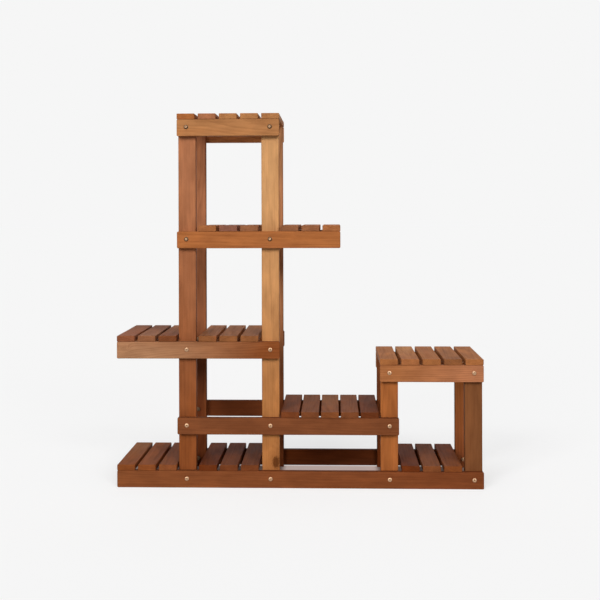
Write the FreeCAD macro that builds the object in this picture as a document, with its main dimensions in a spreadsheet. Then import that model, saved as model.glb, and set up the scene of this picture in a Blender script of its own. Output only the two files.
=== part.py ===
import FreeCAD, Part
import os
import re
import Sketcher

# Tiered slatted plant stand, millimetres, +Z up, origin under the middle of its footprint.
# Four columns of upright boards stand in pairs, one board at the front and one at the back.
# Horizontal rails are bolted to the outer faces of the uprights at six levels, and slats
# laid from front rail to back rail make the shelves. X runs to the right along the rails,
# and the front of the stand faces -Y.

# Driving sizes, each in millimetres: the sheet holds them under these names.
sizes = {
    "rail_height": 44,
    "rail_thickness": 16,
    "post_width": 46,
    "post_thickness": 18,
    "slat_width": 46.5,
    "slat_thickness": 15,
    "slat_gap": 8,
    "middle_slat_gap": 4.9,
    "slat_post_gap": 4,
    "stand_depth": 250,
    "rail_overrun": 1.6,
    "top_rail_level": 913,
    "second_rail_level": 621.5,
    "third_rail_level": 335,
    "side_rail_level": 275.5,
    "fourth_rail_level": 138,
    "edge_radius": 1.5,
    "corner_radius": 3.5,
    "bolt_rise": 24,
    "bolt_diameter": 6,
    "bolt_end": 2.5,
    "bolt_clearance": 0.4,
    "head_diameter": 11,
    "head_height": 3.2,
    "head_rim": 1.2,
    "recess_length": 6,
    "recess_width": 1.4,
    "recess_depth": 1.8,
    "nut_width": 10,
    "nut_height": 5,
    "thread_clearance": 0.2,
    "nail_length": 30,
    "nail_diameter": 1.8,
    "nail_head_diameter": 2.6,
    "nail_head_height": 1.5,
    "nail_sink": 0.5,
    "nail_inset": 11,
    "nail_clearance": 0.1,
}

# Slats in a bay between two columns, on an overhang, in the wide middle bay, and on a
# shelf that covers its two columns.
bay_slats = 3
middle_slats = 5
cover_slats = 5

# Places worked out from the driving sizes. A column's place is the left face of its posts,
# and a level is the underside of a rail.
places = {
    "bay": f"{bay_slats}*slat_width + {bay_slats + 1}*slat_gap",
    "middle_bay": f"{middle_slats}*slat_width + {middle_slats + 1}*middle_slat_gap",
    "overhang": f"{bay_slats}*slat_width + {bay_slats - 1}*slat_gap + slat_post_gap",
    "stand_width": "overhang + 4*post_width + 2*bay + middle_bay + rail_overrun",
    "left_end": "-stand_width/2",
    "right_end": "stand_width/2",
    "left_tall": "left_end + overhang",
    "right_tall": "left_tall + post_width + bay",
    "middle_short": "right_tall + post_width + middle_bay",
    "right_short": "middle_short + post_width + bay",
    "front": "-stand_depth/2",
    "back": "stand_depth/2",
    "bottom_rail_level": "0",
    "post_grip": "rail_thickness + post_thickness",
    "bolt_length": "post_grip + nut_height + bolt_end",
    "bolt_hole": "bolt_diameter + bolt_clearance",
    "nail_hole": "nail_diameter + nail_clearance",
    "nail_seat": "nail_head_height + nail_sink",
    "nail_reach": "nail_length + nail_sink + nail_clearance",
}

# Each column: the top of its posts follows the rail named here, and its bolts are at these rails.
columns = {
    "left_tall": ("top", ["top", "second", "third", "fourth", "bottom"]),
    "right_tall": ("top", ["top", "second", "third", "fourth", "bottom"]),
    "middle_short": ("side", ["side", "fourth", "bottom"]),
    "right_short": ("side", ["side", "bottom"]),
}

# Each rail: where its left and right ends are, and the columns that it is bolted to.
rails = {
    "top": ("left_tall - rail_overrun", "right_tall + post_width + rail_overrun"),
    "second": ("left_tall - rail_overrun", "right_tall + post_width + overhang"),
    "third": ("left_end", "right_tall + post_width + rail_overrun"),
    "fourth": ("left_tall - rail_overrun", "middle_short + post_width + rail_overrun"),
    "bottom": ("left_end", "right_end"),
    "side": ("middle_short - rail_overrun", "right_end"),
}

# Runs of slats. Each run: how many slats, and the left edges of its first and last slat.
tall_bay_run = (
    bay_slats,
    "left_tall + post_width + slat_gap",
    "right_tall - slat_gap - slat_width",
)
left_overhang_run = (bay_slats, "left_end", "left_tall - slat_post_gap - slat_width")
right_overhang_run = (
    bay_slats,
    "right_tall + post_width + slat_post_gap",
    "right_tall + post_width + overhang - slat_width",
)
middle_bay_run = (
    middle_slats,
    "right_tall + post_width + middle_slat_gap",
    "middle_short - middle_slat_gap - slat_width",
)
short_bay_run = (
    bay_slats,
    "middle_short + post_width + slat_gap",
    "right_short - slat_gap - slat_width",
)
tall_cover_run = (
    cover_slats,
    "left_tall - rail_overrun",
    "right_tall + post_width + rail_overrun - slat_width",
)
side_cover_run = (cover_slats, "middle_short - rail_overrun", "right_end - slat_width")
shelves = {
    "top": [tall_cover_run],
    "second": [tall_bay_run, right_overhang_run],
    "third": [left_overhang_run, tall_bay_run],
    "fourth": [middle_bay_run],
    "bottom": [left_overhang_run, tall_bay_run, short_bay_run],
    "side": [side_cover_run],
}

doc = FreeCAD.newDocument("PlantStand")
sheet = doc.addObject("Spreadsheet::Sheet", "Sizes")
for row, (alias, value) in enumerate(sizes.items(), start=1):
    sheet.set(f"A{row}", alias)
    sheet.set(f"B{row}", str(value))
    sheet.setAlias(f"B{row}", alias)
doc.recompute()


def spelled(text):
    """Write a size formula with every place opened up into cells of the sheet."""

    def opened(match):
        word = match.group()
        if word in places:
            return "(" + spelled(places[word]) + ")"
        return "Sizes." + word if word in sizes else word

    return re.sub(r"[a-z_]+", opened, text)


def bind(item, prop, text):
    """Bind one property of an object, or one constraint of a sketch, to a size formula."""
    item.setExpression(prop, spelled(text))


def place(item, x, y, z):
    """Put an object's own origin at x, y, z, given as size formulas."""
    for axis, text in zip("xyz", (x, y, z)):
        bind(item, f"Placement.Base.{axis}", text)


def newBody(name):
    body = doc.addObject("PartDesign::Body", name)
    body.Label = name
    return body


def newSketch(body, role, name, height=None):
    """A sketch on one of the body's own planes, or parallel to it at a height along its normal."""
    plane = next(f for f in body.Origin.OriginFeatures if f.Role == role)
    sketch = body.newObject("Sketcher::SketchObject", body.Name + name)
    sketch.AttachmentSupport = [(plane, "")]
    sketch.MapMode = "FlatFace"
    if height:
        bind(sketch, "AttachmentOffset.Base.z", height)
    return sketch


def addRectangle(sketch, width, height):
    """A rectangle with its lower left corner at the sketch's origin."""
    corners = [(0, 0), (10, 0), (10, 10), (0, 10)]
    for start, end in zip(corners, corners[1:] + corners[:1]):
        sketch.addGeometry(Part.LineSegment(FreeCAD.Vector(*start), FreeCAD.Vector(*end)))
    for line in range(4):
        sketch.addConstraint(Sketcher.Constraint("Coincident", line, 2, (line + 1) % 4, 1))
    sketch.addConstraint(Sketcher.Constraint("Horizontal", 0))
    sketch.addConstraint(Sketcher.Constraint("Vertical", 1))
    sketch.addConstraint(Sketcher.Constraint("Horizontal", 2))
    sketch.addConstraint(Sketcher.Constraint("Vertical", 3))
    sketch.addConstraint(Sketcher.Constraint("Coincident", 0, 1, -1, 1))
    across = sketch.addConstraint(Sketcher.Constraint("DistanceX", 0, 1, 0, 2, 10))
    up = sketch.addConstraint(Sketcher.Constraint("DistanceY", 1, 1, 1, 2, 10))
    sketch.renameConstraint(across, "across")
    sketch.renameConstraint(up, "up")
    bind(sketch, "Constraints.across", width)
    bind(sketch, "Constraints.up", height)


def addCircles(sketch, centres, diameter):
    """Round holes of one diameter, with their centres as pairs of size formulas."""
    for number, (x, y) in enumerate(centres):
        guess = FreeCAD.Vector(7 * number + 5, 5, 0)
        circle = sketch.addGeometry(Part.Circle(guess, FreeCAD.Vector(0, 0, 1), 1))
        across = sketch.addConstraint(Sketcher.Constraint("DistanceX", -1, 1, circle, 3, guess.x))
        up = sketch.addConstraint(Sketcher.Constraint("DistanceY", -1, 1, circle, 3, guess.y))
        bore = sketch.addConstraint(Sketcher.Constraint("Diameter", circle, 2))
        sketch.renameConstraint(across, f"across{number}")
        sketch.renameConstraint(up, f"up{number}")
        sketch.renameConstraint(bore, f"bore{number}")
        bind(sketch, f"Constraints.across{number}", x)
        bind(sketch, f"Constraints.up{number}", y)
        bind(sketch, f"Constraints.bore{number}", diameter)


def addRound(sketch, diameter):
    """One circle about the sketch's origin."""
    sketch.addGeometry(Part.Circle(FreeCAD.Vector(0, 0, 0), FreeCAD.Vector(0, 0, 1), 1))
    sketch.addConstraint(Sketcher.Constraint("Coincident", 0, 3, -1, 1))
    bore = sketch.addConstraint(Sketcher.Constraint("Diameter", 0, 2))
    sketch.renameConstraint(bore, "bore")
    bind(sketch, "Constraints.bore", diameter)


def newPad(body, sketch, length, backwards=False):
    pad = body.newObject("PartDesign::Pad", sketch.Name + "Pad")
    pad.Profile = sketch
    pad.Reversed = backwards
    bind(pad, "Length", length)
    doc.recompute()
    return pad


def newPocket(body, sketch, depth=None):
    """Cut a sketch into the body against the sketch's normal, right through without a depth."""
    before = body.Shape.Volume
    pocket = body.newObject("PartDesign::Pocket", sketch.Name + "Pocket")
    pocket.Profile = sketch
    if depth:
        bind(pocket, "Length", depth)
    else:
        pocket.Type = "ThroughAll"
    doc.recompute()
    if body.Shape.Volume >= before:
        raise RuntimeError(f"{pocket.Name} cuts nothing")
    return pocket


def newFillet(body, base, keep, radius, name):
    """Round the edges of the base feature that keep() picks."""
    edges = [f"Edge{number}" for number, edge in enumerate(base.Shape.Edges, start=1) if keep(edge)]
    fillet = body.newObject("PartDesign::Fillet", body.Name + name)
    fillet.Base = (base, edges)
    bind(fillet, "Radius", radius)
    doc.recompute()
    return fillet


def runsAlong(axis):
    """A test for straight edges parallel to one axis, given as 0, 1 or 2."""

    def test(edge):
        spans = [edge.BoundBox.XLength, edge.BoundBox.YLength, edge.BoundBox.ZLength]
        return all(span < 0.01 for number, span in enumerate(spans) if number != axis)

    return test


def liesAcross(axis):
    """A test for edges, straight or round, in a plane square to one axis."""

    def test(edge):
        spans = [edge.BoundBox.XLength, edge.BoundBox.YLength, edge.BoundBox.ZLength]
        return spans[axis] < 0.01

    return test


def slatEdges(run):
    """The left edges of a run's slats, spread evenly from its first to its last."""
    count, first, last = run
    return [f"{first} + ({last} - ({first}))*{number}/{count - 1}" for number in range(count)]


def nailsAcross():
    """How far each of a slat's two nails at one end is from its left edge."""
    return ["nail_inset", "slat_width - nail_inset"]


def makeRail(shelf, side):
    """A rail with rounded corners, bolt holes through it and nail holes down into its top edge.

    Its own origin is its lower left corner, on its front face.
    """
    left, right = rails[shelf]
    body = newBody(f"{shelf}_rail_{side}")
    outline = newSketch(body, "XZ_Plane", "Outline")
    addRectangle(outline, f"{right} - ({left})", "rail_height")
    board = newPad(body, outline, "rail_thickness", backwards=True)
    corners = newFillet(body, board, runsAlong(1), "corner_radius", "Corners")
    newFillet(body, corners, liesAcross(1), "edge_radius", "Edges")

    bolts = newSketch(body, "XZ_Plane", "Bolts")
    crossed = [column for column, (_, levels) in columns.items() if shelf in levels]
    addCircles(bolts, [(f"{column} + post_width/2 - ({left})", "bolt_rise") for column in crossed],
               "bolt_hole")
    newPocket(body, bolts)

    nails = newSketch(body, "XY_Plane", "Nails", height="rail_height")
    spots = []
    for run in shelves[shelf]:
        for edge in slatEdges(run):
            for across in nailsAcross():
                spots.append((f"{edge} + {across} - ({left})", "rail_thickness/2"))
    addCircles(nails, spots, "nail_hole")
    newPocket(body, nails, "nail_reach - slat_thickness")

    y = "front" if side == "front" else "back - rail_thickness"
    place(body, left, y, f"{shelf}_rail_level")
    return body


def makePost(column, side):
    """An upright from the floor to the top of its highest rail, drilled for a bolt at each rail.

    Its own origin is its lower left corner, on its front face.
    """
    highest, levels = columns[column]
    body = newBody(f"{column}_post_{side}")
    outline = newSketch(body, "XZ_Plane", "Outline")
    addRectangle(outline, "post_width", f"{highest}_rail_level + rail_height")
    board = newPad(body, outline, "post_thickness", backwards=True)
    newFillet(body, board, runsAlong(2), "edge_radius", "Edges")

    bolts = newSketch(body, "XZ_Plane", "Bolts")
    addCircles(bolts, [("post_width/2", f"{shelf}_rail_level + bolt_rise") for shelf in levels],
               "bolt_hole")
    newPocket(body, bolts)

    y = "front + rail_thickness" if side == "front" else "back - post_grip"
    place(body, column, y, "0")
    return body


def makeSlat(shelf, number, edge):
    """A slat from front to back, with two sunk nail holes at each end.

    Its own origin is its lower left corner at the front.
    """
    body = newBody(f"{shelf}_shelf_slat_{number}")
    outline = newSketch(body, "XY_Plane", "Outline")
    addRectangle(outline, "slat_width", "stand_depth")
    board = newPad(body, outline, "slat_thickness")
    newFillet(body, board, lambda edge: True, "edge_radius", "Edges")

    ends = ["rail_thickness/2", "stand_depth - rail_thickness/2"]
    spots = [(across, along) for across in nailsAcross() for along in ends]
    shanks = newSketch(body, "XY_Plane", "Shanks", height="slat_thickness")
    addCircles(shanks, spots, "nail_hole")
    newPocket(body, shanks)
    heads = newSketch(body, "XY_Plane", "Heads", height="slat_thickness")
    addCircles(heads, spots, "nail_head_diameter + nail_clearance")
    newPocket(body, heads, "nail_seat")

    place(body, edge, "front", f"{shelf}_rail_level + rail_height")
    return body


def addDisc(body, name, diameter, height, level=None):
    """A round disc about the body's Z axis, from a level upwards."""
    sketch = newSketch(body, "XY_Plane", name, level)
    addRound(sketch, diameter)
    return newPad(body, sketch, height)


def addSlot(body, name, length, width):
    """Cut one straight slot of the recess into the top of a bolt's head."""
    sketch = newSketch(body, "XY_Plane", name, "head_height")
    addRectangle(sketch, length, width)
    bind(sketch, "AttachmentOffset.Base.x", f"-{length}/2")
    bind(sketch, "AttachmentOffset.Base.y", f"-{width}/2")
    return newPocket(body, sketch, "recess_depth")


def makeBolt():
    """A cross-recessed bolt, its domed head upwards from Z 0 and its shank down along -Z."""
    body = newBody("bolt")
    addDisc(body, "Shank", "bolt_diameter", "bolt_length", "-bolt_length")
    head = addDisc(body, "Head", "head_diameter", "head_height")
    top = head.Shape.BoundBox.ZMax
    newFillet(body, head, lambda edge: edge.BoundBox.ZMin > top - 0.01,
              "head_height - head_rim", "Dome")
    addSlot(body, "RecessAlong", "recess_length", "recess_width")
    addSlot(body, "RecessAcross", "recess_width", "recess_length")
    return body


def makeNut():
    """A hexagon nut with its corners turned off at both faces, its seat at Z 0."""
    corners = "nut_width/sqrt(3)"
    turned = newBody("nut_blank")
    disc = addDisc(turned, "Disc", f"2*{corners}", "nut_height")
    chamfer = turned.newObject("PartDesign::Chamfer", "NutChamfer")
    rims = [edge for edge in disc.Shape.Edges if liesAcross(2)(edge)]
    names = [f"Edge{number}" for number, edge in enumerate(disc.Shape.Edges, start=1)
             if any(edge.isSame(rim) for rim in rims)]
    chamfer.Base = (disc, names)
    bind(chamfer, "Size", f"({corners} - nut_width/2)/2")
    hexagon = doc.addObject("Part::Prism", "nut_hexagon")
    hexagon.Polygon = 6
    bind(hexagon, "Circumradius", corners)
    bind(hexagon, "Height", "nut_height")
    solid = doc.addObject("Part::Common", "nut_solid")
    solid.Base = turned
    solid.Tool = hexagon
    bore = doc.addObject("Part::Cylinder", "nut_bore")
    bind(bore, "Radius", "(bolt_diameter + thread_clearance)/2")
    bind(bore, "Height", "nut_height")
    nut = doc.addObject("Part::Cut", "nut")
    nut.Base = solid
    nut.Tool = bore
    doc.recompute()
    return nut


def makeNail():
    """A small-headed nail, the top of its head at Z 0 and its shank down along -Z."""
    body = newBody("nail")
    addDisc(body, "Shank", "nail_diameter", "nail_length", "-nail_length")
    addDisc(body, "Head", "nail_head_diameter", "nail_head_height", "-nail_head_height")
    return body


def makeGroup(name, pattern, spots):
    """One node that holds a copy of the pattern at each spot: a turn about X, and x, y, z."""
    copies = []
    for number, (turn, x, y, z) in enumerate(spots, start=1):
        copy = doc.addObject("App::Link", f"{name}_{number}")
        copy.LinkedObject = pattern
        copy.Placement.Rotation = FreeCAD.Rotation(FreeCAD.Vector(1, 0, 0), turn)
        place(copy, x, y, z)
        copies.append(copy)
    group = doc.addObject("Part::Compound", name)
    group.Label = name
    group.Links = copies
    doc.recompute()
    return group


# A quarter turn about X points a fastener's own +Z to the front of the stand, and the
# opposite turn points it to the back.
to_front = 90
to_back = -90


def boltSpots(turns, inset):
    """A fastener for each crossing of a post and a rail, at an inset from the outer faces."""
    spots = []
    for column, (_, levels) in columns.items():
        for shelf in levels:
            x = f"{column} + post_width/2"
            z = f"{shelf}_rail_level + bolt_rise"
            spots.append((turns[0], x, f"front + {inset}", z))
            spots.append((turns[1], x, f"back - ({inset})", z))
    return spots


def nailSpots():
    """Two nails through each end of each slat, sunk below its top face."""
    spots = []
    for shelf, runs in shelves.items():
        z = f"{shelf}_rail_level + rail_height + slat_thickness - nail_sink"
        for run in runs:
            for edge in slatEdges(run):
                for across in nailsAcross():
                    x = f"{edge} + {across}"
                    spots.append((0, x, "front + rail_thickness/2", z))
                    spots.append((0, x, "back - rail_thickness/2", z))
    return spots


nodes = []
for column in columns:
    for side in ("front", "back"):
        nodes.append(makePost(column, side))
for shelf in rails:
    for side in ("front", "back"):
        nodes.append(makeRail(shelf, side))
for shelf, runs in shelves.items():
    edges = [edge for run in runs for edge in slatEdges(run)]
    for number, edge in enumerate(edges, start=1):
        nodes.append(makeSlat(shelf, number, edge))
nodes.append(makeGroup("frame_bolts", makeBolt(), boltSpots((to_front, to_back), "0")))
nodes.append(makeGroup("frame_nuts", makeNut(), boltSpots((to_back, to_front), "post_grip")))
nodes.append(makeGroup("slat_nails", makeNail(), nailSpots()))
doc.recompute()

for item in doc.Objects:
    if "Invalid" in item.State or "Error" in item.State:
        raise RuntimeError(f"{item.Name} failed: {item.State}")
for node in nodes:
    if node.Shape.isNull() or not node.Shape.isValid():
        raise RuntimeError(f"{node.Label} has no valid shape")

os.makedirs("parts", exist_ok=True)
for node in nodes:
    node.Shape.exportStep(f"parts/{node.Label}.step")
box = Part.makeCompound([node.Shape for node in nodes]).BoundBox
print(f"{len(nodes)} nodes, {box.XLength:.1f} x {box.YLength:.1f} x {box.ZLength:.1f} mm")
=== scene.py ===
import math

import bpy
import numpy as np
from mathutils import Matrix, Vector


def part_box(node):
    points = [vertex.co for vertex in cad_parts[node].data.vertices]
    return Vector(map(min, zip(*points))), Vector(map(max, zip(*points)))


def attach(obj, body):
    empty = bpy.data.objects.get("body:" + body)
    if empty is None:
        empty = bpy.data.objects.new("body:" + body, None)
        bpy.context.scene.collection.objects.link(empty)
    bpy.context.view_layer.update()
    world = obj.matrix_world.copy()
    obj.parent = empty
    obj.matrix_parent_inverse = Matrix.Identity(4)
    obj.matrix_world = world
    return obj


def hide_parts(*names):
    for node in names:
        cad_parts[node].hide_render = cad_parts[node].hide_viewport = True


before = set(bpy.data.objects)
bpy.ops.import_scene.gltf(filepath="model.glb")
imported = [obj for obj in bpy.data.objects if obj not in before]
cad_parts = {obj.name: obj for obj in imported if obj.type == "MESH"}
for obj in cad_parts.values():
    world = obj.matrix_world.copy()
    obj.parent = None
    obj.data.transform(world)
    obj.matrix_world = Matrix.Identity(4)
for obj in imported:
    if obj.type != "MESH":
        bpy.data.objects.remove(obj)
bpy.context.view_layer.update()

mm = 0.001
print("frame loaded:", len(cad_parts), "nodes")


def paint(red, green, blue):
    # a screen colour of 0 to 255 as the linear colour that a shader takes
    c = np.array([red, green, blue]) / 255.0
    lin = np.where(c <= 0.04045, c / 12.92, ((c + 0.055) / 1.055) ** 2.4)
    return (float(lin[0]), float(lin[1]), float(lin[2]), 1.0)


def addNode(tree, kind, sockets=None, **settings):
    # a socket takes a plain value, or another node's output by a link
    node = tree.nodes.new(kind)
    for key, value in settings.items():
        setattr(node, key, value)
    for key, value in (sockets or {}).items():
        if isinstance(value, bpy.types.NodeSocket):
            tree.links.new(value, node.inputs[key])
        else:
            node.inputs[key].default_value = value
    return node


def emptyTree(owner):
    # the node tree of a material or world, cleared for use
    owner.use_nodes = True
    owner.node_tree.nodes.clear()
    return owner.node_tree


def calc(tree, operation, a, b=0.0, c=0.0, clamp=False):
    sockets = {0: a, 1: b, 2: c}
    return addNode(tree, "ShaderNodeMath", sockets, operation=operation, use_clamp=clamp).outputs[0]


def moved(tree, operation, a, b):
    return addNode(tree, "ShaderNodeVectorMath", {0: a, 1: b}, operation=operation).outputs[0]


def ramp(tree, value, low, high, start=0.0, end=1.0):
    # start below low, end above high, and a smooth step between
    sockets = {"Value": value, "From Min": low, "From Max": high, "To Min": start, "To Max": end}
    return addNode(tree, "ShaderNodeMapRange", sockets, interpolation_type="SMOOTHSTEP").outputs[0]


def tint(tree, amount, under, over, blend="MIX"):
    # one colour laid over another
    sockets = {0: amount, 6: under, 7: over}
    return addNode(tree, "ShaderNodeMix", sockets, data_type="RGBA", blend_type=blend,
                   clamp_factor=True).outputs[2]


def between(tree, share, low, high):
    # the number that lies that share of the way from low to high
    return addNode(tree, "ShaderNodeMix", {0: share, 2: low, 3: high}, data_type="FLOAT").outputs[0]


def clouds(tree, place, scale, seed=None, detail=2.0, rough=0.5):
    # noise over place, stretched by the three numbers of scale
    spot = moved(tree, "MULTIPLY", place, scale)
    if seed is not None:
        spot = moved(tree, "ADD", spot, seed)
    sockets = {"Vector": spot, "Scale": 1.0, "Detail": detail, "Roughness": rough}
    return addNode(tree, "ShaderNodeTexNoise", sockets, noise_dimensions="3D").outputs[0]


def putMesh(name, points, faces, marks, material):
    # marks are numbers kept at the points, by name, for the material to read
    mesh = bpy.data.meshes.new(name)
    mesh.from_pydata(np.asarray(points).tolist(), [], faces)
    mesh.polygons.foreach_set("use_smooth", np.ones(len(mesh.polygons), bool))
    for key, values in marks.items():
        layer = mesh.attributes.new(key, "FLOAT", "POINT")
        layer.data.foreach_set("value", np.asarray(values, np.float32))
    mesh.validate()
    mesh.update()
    piece = bpy.data.objects.new(name, mesh)
    bpy.context.scene.collection.objects.link(piece)
    mesh.materials.append(material)
    return piece


def gridFaces(rows, columns, start=0, inward=False):
    # quads between each closed row of points and the next
    row, column = np.meshgrid(np.arange(rows - 1), np.arange(columns), indexing="ij")
    after = (column + 1) % columns
    quads = np.stack([row * columns + column, row * columns + after,
                      (row + 1) * columns + after, (row + 1) * columns + column], axis=-1)
    quads = quads.reshape(-1, 4)
    return (quads[:, ::-1] if inward else quads) + start


timber = {
    "ringSpacing": 0.0042,     # metres between growth rings
    "ringBend": 0.034,         # metres that slow noise bends the rings,
    "ringRipple": 0.0035,      # that quick noise does,
    "ringPush": 0.016,         # and that a knot pushes them
    "lateFrom": (0.15, 0.82), "lateTo": (0.86, 1.0),      # where in a ring its dark late wood is
    "ringChange": 0.73, "ringRange": (0.3, 0.7), "ringLeast": 0.15,    # how rings differ in depth
    "knotSquash": 0.62, "knotFall": 0.35, "knotRagged": 1.1, "knotEdge": (0.55, 1.15),
    "poreRings": (0.0, 0.6, 0.45, 1.0),    # between rings 0.45 of the pores, in late wood all of them
    "pithSlope": 0.03, "pithAside": 0.05, "pithBehind": (0.03, 0.10),      # where the pith line runs
    "seedReach": 40,
    "fade": 1.4,               # how quickly a board's low tone gives way to its high one
    "drift": 0.55,             # and how unevenly
    "streaks": 0.30,           # how much of their own tone the streaks take
    "endFrom": (-0.0011, -0.0003),    # metres past a board's end, over which end grain starts
    "roughness": 0.41,         # the least: fibres, mottle and end grain add to it
    "ior": 1.4, "specular": 0.045,
    "bump": 0.55, "bumpHeight": 0.00035,
}

# How fine each noise is along the grain and across it, per metre, its detail and its roughness
grainNoise = {
    "knotEdge": (260, 320, 2.0, 0.5),
    "bend": (2.1, 11, 1.5, 0.5),
    "ripple": (9, 60, 2.0, 0.5),
    "fibre": (7, 330, 3.0, 0.6),
    "hair": (26, 1300, 2.0, 0.6),
    "prick": (120, 2100, 1.0, 0.5),
    "band": (1.7, 34, 2.5, 0.55),
    "mottle": (19, 52, 2.0, 0.5),
    "blotch": (13, 38, 1.5, 0.5),      # pale and dark patches a hand long
    "drift": (2.3, 16, 1.0, 0.5),
    "rub": (30, 90, 2.0, 0.5),
    "swell": (55, 140, 2.0, 0.5),
}
# metres that a noise is moved, so that it doesn't follow the others
noiseShift = {"mottle": (0.31, 0.17, 0.53), "blotch": (0.83, 0.29, 0.11)}

# Marks that a noise makes: which noise, and its values where they start and where they are full
noiseMarks = {
    "streaks": ("band", 0.50, 0.74),
    "paleBands": ("band", 0.46, 0.28),
    "fibreDark": ("fibre", 0.42, 0.70),
    "hairDark": ("hair", 0.50, 0.68),
    "pores": ("prick", 0.62, 0.72),
    "mottleLight": ("mottle", 0.45, 0.68),
    "mottleDark": ("mottle", 0.54, 0.34),
    "blotchLight": ("blotch", 0.50, 0.66),
    "blotchDark": ("blotch", 0.50, 0.34),
    "rubbed": ("rub", 0.35, 0.65),
}

# How strongly each mark shows, and what it multiplies the wood's colour by
woodMarks = {
    "paleBands": (0.16, (1.35, 1.33, 1.28)),
    "rings": (0.374, (0.50, 0.42, 0.36)),
    "fibreDark": (0.26, (0.56, 0.50, 0.46)),
    "hairDark": (0.16, (0.60, 0.55, 0.50)),
    "pores": (0.30, (0.42, 0.36, 0.32)),
    "mottleLight": (0.10, (1.55, 1.50, 1.42)),
    "mottleDark": (0.13, (0.62, 0.58, 0.55)),
    "blotchLight": (0.26, (1.42, 1.40, 1.34)),
    "blotchDark": (0.26, (0.66, 0.60, 0.56)),
    "knotRim": (0.45, (0.62, 0.52, 0.44)),
    "knotCore": (1.0, (0.34, 0.27, 0.22)),
    "endGrain": (0.12, (0.52, 0.44, 0.38)),    # it drinks more oil,
    "flankShade": (0.55, (0.50, 0.42, 0.36)),       # the narrow faces darker: painted shade, for the dim light they get from the sides
    "rubbed": (0.16, (1.50, 1.46, 1.40)),      # rubbed edges are paler
}
woodRoughness = {"fibre": 0.16, "mottle": 0.14, "endGrain": 0.16}
woodHeight = {"fibre": 0.35, "hair": 0.35, "pores": -0.55, "rings": 0.12, "swell": 0.7}


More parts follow.
